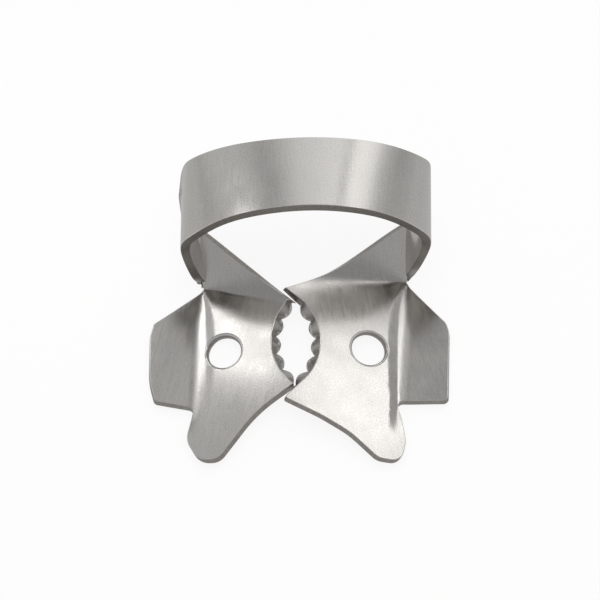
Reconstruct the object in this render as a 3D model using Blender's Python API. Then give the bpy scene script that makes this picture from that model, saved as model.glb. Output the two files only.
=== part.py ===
"""Winged rubber dam clamp: one piece of stamped and formed spring steel.

The clamp is cut flat from sheet and then bent. The script does the same: it draws the flat
blank, gives it the thickness of the sheet, breaks its cut edges, drills the two forceps holes
and then carries every point of the blank to its place on the formed clamp.

X runs from side to side, Y towards the bow (the back of the mouth), Z away from the gum.
Lengths of one side are measured outwards from the middle line.
"""
import math

import bmesh
import bpy
import numpy as np

MM = 0.001

SHEET = 0.85 * MM            # thickness of the sheet
EDGE_BREAK = 0.16 * MM       # radius left on the cut edges by tumbling
HOLE_DIAMETER = 3.05 * MM    # forceps holes
HOLE_BREAK = 0.22 * MM       # radius on the rims of the forceps holes
NOTCH_RADIUS = 0.33 * MM     # round end of the notch between arm and wing

BAND_WIDTH = 7.4 * MM        # bow, front to back at its crown
BOW_HALF_WIDTH = 10.80 * MM  # its middle to the sheet where it is widest
BOW_SHIFT = 0.73 * MM        # the bow sits this much to the right of the plates
BOW_HEIGHT = 13.4 * MM       # crown above the plates, at the middle of the band
BOW_LEAN = math.radians(16)  # the crown's band slopes down towards the back
BOW_FRONT = 3.33 * MM        # front edge of the crown behind the middle of the plates
WAIST_HEIGHT = 6.6 * MM      # height of the widest place
WAIST_FRONT = 2.47 * MM      # front edge there
WAIST_BACK_RISE = 0.4 * MM   # how much higher the back edge is widest

WING_BEND = 0.80 * MM        # half width of the rounded valley between plate and wing
SHOULDER_WIDTH = 0.90 * MM   # width of the small step from the plate down to the valley
BEND_RUN_OUT = 1.25          # the wing's bend is gone here, as a share of its length
CURL_START = 7.0 * MM        # from here forwards, measured from the fold, a front wing curls up
STAND_PITCH = math.radians(5.5)  # turned forwards this far, it stands on the bends of its wings

LIP_PEAK = 0.66 * MM         # how far the teeth reach in below the edge of the plate
LIP_VALLEY = 0.20 * MM       # the same between two teeth
TOOTH_FULLNESS = 0.75        # less than 1 gives round teeth with sharp gaps

CURVE_STEP = 0.52 * MM       # spacing of the cuts that let the blank bend
PLATE_STEP = 1.20 * MM       # spacing of the cuts on the flat plates
ARC_STEP = math.radians(22.5)
TOOTH_POINTS = 5

STEEL_COLOUR = (0.60, 0.59, 0.57, 1.0)


class Side:
    """The sizes of one half, outwards positive, as far as the two halves differ."""

    def __init__(self, **sizes):
        self.__dict__.update(sizes)


LEFT = Side(
    sign=-1,
    apex=(8.82 * MM, 1.27 * MM),           # centre of the notch, seen from above
    jaw_tip=(1.10 * MM, -1.91 * MM),       # where the fold runs out at the jaw
    plate_roll=math.radians(14.5),         # the plate rises towards the jaw
    wing_rise=math.radians(19.0),          # wing against plate
    crease_foot=(9.42 * MM, -10.24 * MM),  # front end of the wing's bend
    shoulder=(0.14 * MM, 0.02 * MM),       # drop of the step at the back and at the front
    front_curl=20.0,                       # curvature of the front wing, per metre
    arm_lean=math.radians(92.0),           # direction of the fold that starts the arm
    arm_slope=math.radians(44.0),          # and how steeply that line climbs
    fold_reach=0.52,                       # a small reach gives a tight fold
    arm_width=6.08 * MM,
    low_front=(9.19 * MM, 1.32 * MM, 3.3 * MM),
    low_back=(10.17 * MM, 8.29 * MM, 6.1 * MM),
    waist_out=(-0.09 * MM, -0.28 * MM),    # front and back edge of the widest place, further out
    waist_back=10.07 * MM,                 # back edge there
    squareness=0.964,                      # 1 gives an elliptical crown, less a squarer one
    distal_bow=0.60 * MM,                  # sag of the back edge between arm and jaw
    wing=((12.89, -2.40, 0.5), (13.18, -3.58, 1.2), (13.25, -7.92, 9.0), (12.78, -9.92, 0.4),
          (9.60, -10.47, 0.55)),
    front=((9.74, -11.35, 2.0), (10.24, -13.48, 2.0), (9.17, -15.47, 1.6), (7.40, -15.59, 1.3),
           (4.05, -11.25, 12.0), (0.68, -8.96, 0.22)),
    jaw=((1.01, -8.70), (2.59, -4.76), (1.03, -0.79)),
    jaw_corner=(0.44 * MM, -1.00 * MM),    # where the back edge meets the jaw
    teeth=5,
    hole=(6.84 * MM, -5.21 * MM),
)

RIGHT = Side(
    sign=1,
    apex=(9.82 * MM, 1.30 * MM),
    jaw_tip=(-0.94 * MM, -3.06 * MM),
    plate_roll=math.radians(14.0),
    wing_rise=math.radians(18.5),
    crease_foot=(8.60 * MM, -10.77 * MM),
    shoulder=(0.03 * MM, 0.16 * MM),
    front_curl=0.0,
    arm_lean=math.radians(92.0),
    arm_slope=math.radians(44.0),
    fold_reach=0.91,
    arm_width=6.36 * MM,
    low_front=(10.32 * MM, 1.50 * MM, 3.3 * MM),
    low_back=(10.40 * MM, 7.88 * MM, 5.9 * MM),
    waist_out=(-0.30 * MM, -0.04 * MM),
    waist_back=9.68 * MM,
    squareness=0.985,
    distal_bow=1.22 * MM,
    wing=((12.78, -3.14, 1.0), (12.96, -4.01, 2.0), (12.53, -10.64, 0.45), (8.12, -10.28, 0.7)),
    front=((8.56, -11.86, 2.0), (8.82, -14.18, 2.0), (8.33, -16.06, 1.5), (6.32, -15.78, 1.4),
           (3.92, -13.43, 8.0), (1.46, -11.93, 12.0), (-1.73, -10.38, 0.22)),
    jaw=((-0.41, -9.00), (1.58, -4.87), (0.24, -1.17)),
    jaw_corner=(-1.46 * MM, 0.08 * MM),
    teeth=5,
    hole=(5.89 * MM, -5.43 * MM),
)


def unit(vector):
    """The vector at length 1."""
    vector = np.asarray(vector, dtype=float)
    return vector / np.linalg.norm(vector)


def ease(value):
    """0 below 0 and 1 above 1, with a smooth rise between."""
    value = np.clip(value, 0.0, 1.0)
    return value * value * (3.0 - 2.0 * value)


def spline(knots, points, start, end):
    """A smooth curve through the points that leaves and arrives with the given slopes."""
    knots = np.asarray(knots)
    points = np.asarray(points)
    gaps = np.diff(knots)[:, None]
    count = len(knots)
    matrix = np.zeros((count, count))
    wanted = np.zeros_like(points)
    matrix[0, 0] = matrix[-1, -1] = 1.0
    wanted[0] = start
    wanted[-1] = end
    for i in range(1, count - 1):
        before, after = gaps[i - 1, 0], gaps[i, 0]
        matrix[i, i - 1:i + 2] = after, 2.0 * (before + after), before
        wanted[i] = 3.0 * (after * (points[i] - points[i - 1]) / before
                           + before * (points[i + 1] - points[i]) / after)
    slopes = np.linalg.solve(matrix, wanted)

    def curve(at):
        at = np.clip(at, knots[0], knots[-1])
        i = np.clip(np.searchsorted(knots, at, side="right") - 1, 0, count - 2)
        gap = gaps[i]
        t = (at - knots[i])[:, None] / gap
        rise = points[i + 1] - points[i]
        return (points[i] + t * t * (3.0 - 2.0 * t) * rise
                + gap * t * (1.0 - t) * ((1.0 - t) * slopes[i] - t * slopes[i + 1]))

    return curve


def rounded(corners):
    """Points along a line of corners (x, y, radius), with an arc of that radius at each."""
    points = []
    for i, (x, y, radius) in enumerate(corners):
        here = np.array((x, y))
        if i in (0, len(corners) - 1) or radius == 0.0:
            points.append(here)
            continue
        to_last = unit(np.array(corners[i - 1][:2]) - here)
        to_next = unit(np.array(corners[i + 1][:2]) - here)
        half = 0.5 * math.acos(float(np.clip(to_last @ to_next, -1.0, 1.0)))
        room = 0.48 * min(np.linalg.norm(np.array(corners[i + k][:2]) - here) for k in (-1, 1))
        reach = min(radius / math.tan(half), room)
        radius = reach * math.tan(half)
        centre = here + unit(to_last + to_next) * radius / math.sin(half)
        first = here + to_last * reach - centre
        last = here + to_next * reach - centre
        turn = math.atan2(first[0] * last[1] - first[1] * last[0], float(first @ last))
        steps = math.ceil(max(abs(turn) / ARC_STEP, abs(turn) * radius * MM / PLATE_STEP))
        for k in range(steps + 1):
            angle = turn * k / steps
            points.append(centre + np.array((
                first[0] * math.cos(angle) - first[1] * math.sin(angle),
                first[0] * math.sin(angle) + first[1] * math.cos(angle))))
    return points


def arc_through(start, middle, end, count):
    """Count + 1 points and unit normals on the circle through three points."""
    (ax, ay), (bx, by), (cx, cy) = start, middle, end
    double = 2.0 * (ax * (by - cy) + bx * (cy - ay) + cx * (ay - by))
    a2, b2, c2 = ax * ax + ay * ay, bx * bx + by * by, cx * cx + cy * cy
    centre = np.array(((a2 * (by - cy) + b2 * (cy - ay) + c2 * (ay - by)) / double,
                       (a2 * (cx - bx) + b2 * (ax - cx) + c2 * (bx - ax)) / double))
    first, last = np.array(start) - centre, np.array(end) - centre
    turn = math.atan2(first[0] * last[1] - first[1] * last[0], float(first @ last))
    points, normals = [], []
    for k in range(count + 1):
        angle = turn * k / count
        spoke = np.array((first[0] * math.cos(angle) - first[1] * math.sin(angle),
                          first[0] * math.sin(angle) + first[1] * math.cos(angle)))
        points.append(centre + spoke)
        normals.append(-unit(spoke))
    return points, normals


class Fold:
    """One foot of the bow, where the arm fans round the notch and runs out into the plate."""

    def __init__(self, side):
        self.side = side
        apex, tip = np.array(side.apex), np.array(side.jaw_tip)
        self.apex = np.array((*apex, 0.0))
        inwards = unit(tip - apex)
        forwards = np.array((-inwards[1], inwards[0]))
        climb = side.plate_roll
        self.inwards = np.array((*(inwards * math.cos(climb)), math.sin(climb)))
        self.forwards = np.array((*forwards, 0.0))
        self.up = np.cross(self.inwards, self.forwards)
        lean, slope = side.arm_lean, side.arm_slope
        self.rising = np.array((math.cos(lean) * math.cos(slope),
                                math.sin(lean) * math.cos(slope), math.sin(slope)))
        self.plan_axes = np.array((inwards / math.cos(climb), forwards))
        self.crease = self.plan_axes @ (np.array(side.crease_foot) - apex)
        self.outwards = unit((-self.crease[1], self.crease[0]))
        self.fan()

    def fan(self):
        """Tabulate the cone between arm and plate by the angle it turns through when flat."""
        share = np.linspace(0.0, 1.0, 1201)[:, None]
        middle = self.inwards - self.side.fold_reach * self.forwards
        rays = ((1 - share) ** 2 * self.rising + 2 * share * (1 - share) * middle
                + share ** 2 * self.inwards)
        self.rays = rays / np.linalg.norm(rays, axis=1)[:, None]
        steps = np.linalg.norm(np.diff(self.rays, axis=0), axis=1)
        self.angles = np.concatenate(((0.0,), np.cumsum(steps)))
        self.spread = self.angles[-1]
        self.leaving = unit(self.rays[1] - self.rays[0])

    def ray(self, angle):
        """Direction of the fan at an angle."""
        rays = np.stack([np.interp(angle, self.angles, self.rays[:, k]) for k in range(3)], axis=-1)
        return rays / np.linalg.norm(rays, axis=1)[:, None]

    def in_fan(self, vector):
        """The part of a vector that lies in the fan where it leaves the arm."""
        return (vector @ self.rising) * self.rising + (vector @ self.leaving) * self.leaving

    def turned(self, along, ahead):
        """Lengths along the plate's own axes as lengths across and along the blank."""
        sine, cosine = math.sin(self.spread), math.cos(self.spread)
        return np.array((along * sine + ahead * cosine, along * cosine - ahead * sine))

    def to_blank(self, point):
        """Where a point seen from above, in metres, lies on the blank from the notch's centre."""
        return self.turned(*(self.plan_axes @ (np.asarray(point) - self.apex[:2])))

    def relief(self, along, ahead):
        """Height of valley, wing and curled front wing above the plane of the plate."""
        side = self.side
        off = along * self.outwards[0] + ahead * self.outwards[1]
        bend = np.clip((off + WING_BEND) / (2.0 * WING_BEND), 0.0, 1.0)
        ramp = WING_BEND * bend ** 2 + np.maximum(off - WING_BEND, 0.0)
        down = (along * self.crease[0] + ahead * self.crease[1]) / (self.crease @ self.crease)
        drop = side.shoulder[0] + (side.shoulder[1] - side.shoulder[0]) * np.clip(down, 0.0, 1.0)
        step = ease((off + WING_BEND + SHOULDER_WIDTH) / SHOULDER_WIDTH)
        fade = ease(ahead / (2.0 * WING_BEND)) * ease((BEND_RUN_OUT - down) / (BEND_RUN_OUT - 1.0))
        curl = 0.5 * side.front_curl * np.maximum(ahead - CURL_START, 0.0) ** 2
        return fade * (math.tan(side.wing_rise) * ramp - drop * step) + curl

    def place(self, flat):
        """Formed places of blank points given from the notch's centre, arm side excluded."""
        angle = np.arctan2(flat[:, 0], flat[:, 1])
        angle = np.where(angle < -0.5 * math.pi, angle + 2.0 * math.pi, angle)
        reach = np.linalg.norm(flat, axis=1)
        fanned = self.apex + reach[:, None] * self.ray(np.clip(angle, 0.0, self.spread))
        sine, cosine = math.sin(self.spread), math.cos(self.spread)
        along = flat[:, 0] * sine + flat[:, 1] * cosine
        ahead = flat[:, 0] * cosine - flat[:, 1] * sine
        plate = (self.apex + along[:, None] * self.inwards + ahead[:, None] * self.forwards
                 + self.relief(along, ahead)[:, None] * self.up)
        return np.where((angle > self.spread)[:, None], plate, fanned), angle


class Form:
    """The formed clamp: carries points of the flat blank to their places."""

    def __init__(self):
        self.folds = {side.sign: Fold(side) for side in (LEFT, RIGHT)}
        sine, cosine = math.sin(STAND_PITCH), math.cos(STAND_PITCH)
        self.stand = np.array(((1.0, 0.0, 0.0), (0.0, cosine, -sine), (0.0, sine, cosine)))
        self.strip()

    def strip(self):
        """The bow and arms as straight lines between a front and a back edge."""
        fronts, backs = [], []
        run, fall = BAND_WIDTH * math.cos(BOW_LEAN), BAND_WIDTH * math.sin(BOW_LEAN)
        crown_front = np.array((0.0, BOW_FRONT, BOW_HEIGHT + 0.5 * fall))
        crown_back = np.array((0.0, BOW_FRONT + run, BOW_HEIGHT - 0.5 * fall))
        for sign in (-1, 1):
            fold = self.folds[sign]
            side = fold.side
            front = [fold.apex + NOTCH_RADIUS * fold.rising, np.array(side.low_front)]
            back = [fold.apex + side.arm_width * fold.rising, np.array(side.low_back)]
            waist_front = np.array((BOW_HALF_WIDTH + side.waist_out[0], WAIST_FRONT, WAIST_HEIGHT))
            waist_back = np.array((BOW_HALF_WIDTH + side.waist_out[1], side.waist_back,
                                   WAIST_HEIGHT + WAIST_BACK_RISE))
            for angle in np.radians((90.0, 67.5, 45.0, 22.5)):
                out = math.sin(angle) ** side.squareness
                top = abs(math.cos(angle)) ** side.squareness
                share = np.array((1.0 - out, math.cos(angle) ** 2, top))
                shift = np.array((sign * BOW_SHIFT, 0.0, 0.0))
                front.append(waist_front + share * (crown_front - waist_front) + shift)
                back.append(waist_back + share * (crown_back - waist_back) + shift)
            turn = np.array((sign, 1.0, 1.0))
            front = [point * turn for point in front]
            back = [point * turn for point in back]
            if sign < 0:
                shift = np.array((BOW_SHIFT, 0.0, 0.0))
                fronts += front + [crown_front + shift]
                backs += back + [crown_back + shift]
            else:
                fronts += front[::-1]
                backs += back[::-1]
        fronts, backs = np.array(fronts), np.array(backs)
        middles = 0.5 * (fronts + backs)
        lengths = np.concatenate(((0.0,), np.cumsum(np.linalg.norm(np.diff(middles, axis=0), axis=1))))
        crown = len(fronts) // 2
        knots = lengths - lengths[crown]
        self.ends = {-1: knots[0], 1: knots[-1]}
        slopes = []
        for points in (fronts, backs):
            pair = []
            for sign, near, far in ((-1, 0, 1), (1, -1, -2)):
                fold = self.folds[sign]
                turn = np.array((sign, 1.0, 1.0))
                step = (points[near] - points[far]) / abs(knots[near] - knots[far]) * turn
                pair.append(sign * fold.in_fan(step) * turn)
            slopes.append(pair)
        self.front = spline(knots, fronts, *slopes[0])
        self.back = spline(knots, backs, *slopes[1])

    def width(self, at):
        """Width of the strip at a place along it."""
        return np.linalg.norm(self.back(at) - self.front(at), axis=1)

    def surface(self, flat):
        """Middle surface of the formed clamp for an array of blank points."""
        at, across = flat[:, 0], flat[:, 1]
        front, back = self.front(at), self.back(at)
        width = np.linalg.norm(back - front, axis=1)
        result = front + (across / width)[:, None] * (back - front)
        for sign, fold in self.folds.items():
            local = np.stack((sign * (at - self.ends[sign]), across + NOTCH_RADIUS), axis=-1)
            placed, angle = fold.place(local)
            placed = placed * np.array((sign, 1.0, 1.0))
            mine = (angle > 0.0) & (sign * at > 0.0)
            result = np.where(mine[:, None], placed, result)
        return result

    def normals(self, flat):
        """Unit normals of the middle surface, outwards on the bow."""
        small = 0.002 * MM
        step = np.array((small, 0.0))
        lift = np.array((0.0, small))
        along = self.surface(flat + step) - self.surface(flat - step)
        across = self.surface(flat + lift) - self.surface(flat - lift)
        normal = np.cross(along, across)
        return normal / np.linalg.norm(normal, axis=1)[:, None]

    def shape(self, points):
        """Formed places of solid blank points, whose third value is the depth in the sheet."""
        points = np.asarray(points, dtype=float)
        flat = points[:, :2]
        return (self.surface(flat) + points[:, 2:] * self.normals(flat)) @ self.stand.T


def jaw_points(side):
    """The toothed edge from front to back: upper points and lower points, in millimetres."""
    count = side.teeth * TOOTH_POINTS
    upper, inwards = arc_through(*side.jaw, count)
    lower = []
    for k, (point, normal) in enumerate(zip(upper, inwards)):
        wave = abs(math.sin(math.pi * k / TOOTH_POINTS)) ** TOOTH_FULLNESS
        reach = (LIP_VALLEY + (LIP_PEAK - LIP_VALLEY) * wave) / MM
        lower.append(point + reach * normal)
    return upper, lower


def half_outline(form, sign):
    """Blank points of one half from the crown's front edge round to its back edge.

    Each entry is (lower point, upper point): they differ only along the toothed jaw.
    """
    fold = form.folds[sign]
    side = fold.side
    end = form.ends[sign]
    pairs = []

    def add(flat, upper=None):
        flat = np.array(flat)
        pairs.append((flat, flat if upper is None else np.array(upper)))

    def from_notch(local):
        return end + sign * local[0], local[1] - NOTCH_RADIUS

    steps = round(abs(end) / CURVE_STEP)
    for k in range(steps + 1):
        add((end * k / steps, 0.0))

    corner = np.array(side.wing[0][:2]) * MM
    away = fold.apex[:2] - corner
    tilt = math.asin(NOTCH_RADIUS / np.linalg.norm(away))
    length = math.sqrt(away @ away - NOTCH_RADIUS ** 2)
    heading = math.atan2(away[1], away[0]) + tilt
    touch = corner + length * np.array((math.cos(heading), math.sin(heading)))
    local = fold.to_blank(touch)
    sweep = math.atan2(local[0], local[1]) % (2.0 * math.pi)
    arcs = math.ceil(sweep / ARC_STEP)
    for k in range(1, arcs):
        angle = sweep * k / arcs
        add(from_notch(NOTCH_RADIUS * np.array((math.sin(angle), math.cos(angle)))))

    upper, lower = jaw_points(side)
    corners = [(*(touch / MM), 0.0), *side.wing, *side.front, (*upper[0], 0.0)]
    for point in rounded(corners)[:-1]:
        add(from_notch(fold.to_blank(point * MM)))
    for high, low in zip(upper, lower):
        add(from_notch(fold.to_blank(low * MM)), from_notch(fold.to_blank(high * MM)))

    widest = form.width(np.array((end,)))[0]
    back_start = np.array((end, widest))
    tip_corner = np.array(from_notch(fold.to_blank(side.jaw_corner)))
    chord = back_start - tip_corner
    sag = np.array((chord[1], -chord[0])) / np.linalg.norm(chord) * sign
    steps = round(np.linalg.norm(chord) / CURVE_STEP)
    for k in range(steps + 1):
        share = k / steps
        add(tip_corner + chord * share - sag * side.distal_bow * 4.0 * share * (1.0 - share))
    steps = round(abs(end) / CURVE_STEP)
    for k in range(1, steps):
        at = end * (1.0 - k / steps)
        add((at, form.width(np.array((at,)))[0]))
    return pairs


def blank_outline(form):
    """The whole blank, anticlockwise, as (lower point, upper point) pairs."""
    right = half_outline(form, 1)
    left = half_outline(form, -1)
    crown_back = np.array((0.0, form.width(np.array((0.0,)))[0]))
    return right + [(crown_back, crown_back)] + left[:0:-1]


def solid_blank(pairs):
    """The flat blank as a solid with broken edges, in a new bmesh."""
    bm = bmesh.new()
    upper_place = bm.verts.layers.float_vector.new("upper")
    toothed = bm.verts.layers.int.new("toothed")
    for low, high in pairs:
        vert = bm.verts.new((*low, 0.5 * SHEET))
        vert[upper_place] = (*high, -0.5 * SHEET)
        vert[toothed] = int(not np.allclose(low, high))
    face = bm.faces.new(bm.verts)
    face.normal_update()
    if face.normal.z < 0.0:
        face.normal_flip()
    grown = bmesh.ops.extrude_face_region(bm, geom=[face])
    raised = {item for item in grown["geom"] if isinstance(item, bmesh.types.BMVert)}
    for vert in bm.verts:
        if vert not in raised:
            vert.co = vert[upper_place]
    bmesh.ops.recalc_face_normals(bm, faces=bm.faces)
    rims = []
    for edge in bm.edges:
        first, second = edge.verts
        flat = abs(first.co.z - second.co.z) < 0.1 * SHEET
        sharp_tooth = first.co.z > 0.0 and (first[toothed] or second[toothed])
        if flat and not sharp_tooth:
            rims.append(edge)
    bmesh.ops.bevel(bm, geom=rims, offset=EDGE_BREAK, offset_type="OFFSET", segments=2,
                    profile=0.5, affect="EDGES", clamp_overlap=True, material=-1)
    return bm


def cut_grid(bm, form):
    """Cut the flat blank across and along, so that it can bend."""
    def cut(place, normal, before=math.inf, beyond=-math.inf):
        faces = []
        for face in bm.faces:
            middle = face.calc_center_median().x
            if middle < before or middle > beyond:
                faces.append(face)
        edges = {edge for face in faces for edge in face.edges}
        verts = {vert for face in faces for vert in face.verts}
        bmesh.ops.bisect_plane(bm, geom=[*verts, *edges, *faces],
                               plane_co=place, plane_no=normal, dist=1e-8)

    def spread(low, high, step):
        count = max(1, round((high - low) / step))
        return [low + (high - low) * k / count for k in range(count + 1)]

    left_end, right_end = form.ends[-1], form.ends[1]
    lowest = min(vert.co.y for vert in bm.verts)
    highest = max(vert.co.y for vert in bm.verts)
    for at in spread(left_end, right_end, CURVE_STEP):
        cut((at, 0.0, 0.0), (1.0, 0.0, 0.0))
    outermost = max(abs(vert.co.x) for vert in bm.verts)
    for at in spread(right_end, outermost, PLATE_STEP)[1:-1]:
        cut((at, 0.0, 0.0), (1.0, 0.0, 0.0))
    for at in spread(-outermost, left_end, PLATE_STEP)[1:-1]:
        cut((at, 0.0, 0.0), (1.0, 0.0, 0.0))
    for across in spread(lowest, highest, PLATE_STEP)[1:-1]:
        cut((0.0, across, 0.0), (0.0, 1.0, 0.0), left_end, right_end)
    for sign, fold in form.folds.items():
        turn = np.array((sign, 1.0))
        apex = np.array((form.ends[sign], -NOTCH_RADIUS))
        outwards = fold.turned(*fold.outwards) * turn
        start = -WING_BEND - SHOULDER_WIDTH
        for off in spread(start, WING_BEND, 0.6 * CURVE_STEP):
            reach = (left_end, math.inf) if sign < 0 else (-math.inf, right_end)
            cut((*(apex + off * outwards), 0.0), (*outwards, 0.0), *reach)


def hole_cutter(form, sign):
    """A turned plug for one forceps hole, flared to leave its rims round."""
    fold = form.folds[sign]
    centre = fold.to_blank(fold.side.hole)
    place = (form.ends[sign] + sign * centre[0], centre[1] - NOTCH_RADIUS)
    radius = 0.5 * HOLE_DIAMETER
    half = 0.5 * SHEET
    profile = [(0.0, half + HOLE_BREAK), (radius + HOLE_BREAK, half + HOLE_BREAK)]
    for top in (1, -1):
        angles = (0.0, 30.0, 60.0, 90.0) if top > 0 else (90.0, 60.0, 30.0, 0.0)
        for angle in np.radians(angles):
            profile.append((radius + HOLE_BREAK * (1.0 - math.sin(angle)),
                            top * (half - HOLE_BREAK * (1.0 - math.cos(angle)))))
    profile += [(radius + HOLE_BREAK, -half - HOLE_BREAK), (0.0, -half - HOLE_BREAK)]
    bm = bmesh.new()
    verts = [bm.verts.new((place[0] + out, place[1], depth)) for out, depth in profile]
    edges = [bm.edges.new(pair) for pair in zip(verts, verts[1:])]
    bmesh.ops.spin(bm, geom=verts + edges, cent=(*place, 0.0), axis=(0.0, 0.0, 1.0),
                   angle=2.0 * math.pi, steps=32, use_merge=True)
    bmesh.ops.remove_doubles(bm, verts=bm.verts, dist=1e-7)
    bmesh.ops.recalc_face_normals(bm, faces=bm.faces)
    mesh = bpy.data.meshes.new("hole_cutter")
    bm.to_mesh(mesh)
    bm.free()
    cutter = bpy.data.objects.new("hole_cutter", mesh)
    cutter.hide_render = True
    cutter.display_type = "WIRE"
    bpy.context.collection.objects.link(cutter)
    return cutter


def drilled(bm, form):
    """The blank with its two forceps holes, as a new bmesh."""
    mesh = bpy.data.meshes.new("blank")
    bm.to_mesh(mesh)
    bm.free()
    blank = bpy.data.objects.new("blank", mesh)
    bpy.context.collection.objects.link(blank)
    cutters = [hole_cutter(form, sign) for sign in (-1, 1)]
    for cutter in cutters:
        drill = blank.modifiers.new("drill", "BOOLEAN")
        drill.operation = "DIFFERENCE"
        drill.solver = "EXACT"
        drill.object = cutter
    bpy.context.view_layer.update()
    result = bmesh.new()
    result.from_object(blank, bpy.context.evaluated_depsgraph_get())
    for item in (blank, *cutters):
        data = item.data
        bpy.data.objects.remove(item)
        bpy.data.meshes.remove(data)
    return result


def steel():
    """Satin stainless steel."""
    material = bpy.data.materials.new("steel")
    material.use_nodes = True
    shader = material.node_tree.nodes["Principled BSDF"]
    shader.inputs["Base Color"].default_value = STEEL_COLOUR
    shader.inputs["Metallic"].default_value = 1.0
    shader.inputs["Roughness"].default_value = 0.3
    return material


def clamp():
    """The finished clamp, standing on its plates, centred over the origin."""
    form = Form()
    bm = solid_blank(blank_outline(form))
    cut_grid(bm, form)
    bm = drilled(bm, form)
    bmesh.ops.triangulate(bm, faces=bm.faces, quad_method="BEAUTY", ngon_method="BEAUTY")
    bm.verts.ensure_lookup_table()
    places = form.shape([vert.co for vert in bm.verts])
    low, high = places.min(axis=0), places.max(axis=0)
    places -= (0.5 * (low[0] + high[0]), 0.5 * (low[1] + high[1]), low[2])
    for vert, place in zip(bm.verts, places):
        vert.co = place
    bmesh.ops.recalc_face_normals(bm, faces=bm.faces)
    mesh = bpy.data.meshes.new("clamp")
    bm.to_mesh(mesh)
    bm.free()
    mesh.shade_smooth()
    mesh.set_sharp_from_angle(angle=math.radians(35.0))
    mesh.materials.append(steel())
    piece = bpy.data.objects.new("clamp", mesh)
    bpy.context.collection.objects.link(piece)
    return piece


def main():
    for item in list(bpy.data.objects):
        bpy.data.objects.remove(item)
    clamp()


main()
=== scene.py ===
"""Looks of a winged rubber dam clamp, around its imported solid.

The clamp is made as the real one is: a flat blank of sheet steel with rounded edges and drilled
holes, which is then bent. Every point of the blank is carried to its place on the formed clamp,
and so is the direction its surface faces, so that the steel reflects as one smooth sheet.

X runs from side to side, Y towards the bow (the back of the mouth), Z away from the gum.
Lengths of one side are measured outwards from the middle line.
"""

import math

import bmesh
import bpy
import numpy as np
from mathutils import Matrix, Vector


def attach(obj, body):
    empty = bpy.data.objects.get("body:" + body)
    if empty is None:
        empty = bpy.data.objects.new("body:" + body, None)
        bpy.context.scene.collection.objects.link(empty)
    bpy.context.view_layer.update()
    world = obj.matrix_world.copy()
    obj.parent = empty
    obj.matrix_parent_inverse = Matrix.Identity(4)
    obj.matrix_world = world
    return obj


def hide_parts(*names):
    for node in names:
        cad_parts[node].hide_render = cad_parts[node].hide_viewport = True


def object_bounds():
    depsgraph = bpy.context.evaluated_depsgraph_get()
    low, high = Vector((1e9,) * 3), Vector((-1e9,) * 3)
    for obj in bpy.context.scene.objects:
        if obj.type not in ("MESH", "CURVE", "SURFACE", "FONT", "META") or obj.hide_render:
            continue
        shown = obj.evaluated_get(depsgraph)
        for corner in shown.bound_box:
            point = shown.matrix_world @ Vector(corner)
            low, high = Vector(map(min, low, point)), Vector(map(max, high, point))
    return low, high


bl_info = {
    "name": "Rubber dam clamp",
    "version": (1, 0, 0),
    "blender": (4, 5, 0),
    "location": "3D View > Sidebar > Clamp",
    "description": "Bends a winged molar clamp from a flat blank and sets it on a pale floor",
    "category": "Object",
}

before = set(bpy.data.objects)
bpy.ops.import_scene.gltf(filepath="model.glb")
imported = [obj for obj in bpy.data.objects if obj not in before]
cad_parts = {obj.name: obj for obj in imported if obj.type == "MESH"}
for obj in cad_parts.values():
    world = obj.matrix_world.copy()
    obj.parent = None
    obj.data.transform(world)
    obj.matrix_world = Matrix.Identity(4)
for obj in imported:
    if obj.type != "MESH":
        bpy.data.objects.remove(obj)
CAD_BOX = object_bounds()

MM = 0.001

ARC_STEP = math.radians(9.0)    # turn between two points of a rounded corner
TOOTH_POINTS = 10               # points along one tooth
HOLE_STEPS = 72                 # points round a forceps hole
EDGE_SEGMENTS = 4               # faces across a rounded edge
BACK_PASSES = 26                # more of them round the corner between bow and arm further
FAN_STEPS = 4000                # rays tabulated between arm and plate
TAPER = 0.4                     # share of its width that a bend gains per width from the notch
BOW_ROWS = 5.0                  # distance of the cuts along the whole blank, in mesh steps
PLATE_ROWS = 1.2                # and on the plates
SURFACE_PROBE = 0.002 * MM      # step that finds a normal of the middle surface
SOLID_PROBE = 0.01 * MM         # step that finds how a normal of the blank turns


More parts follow.
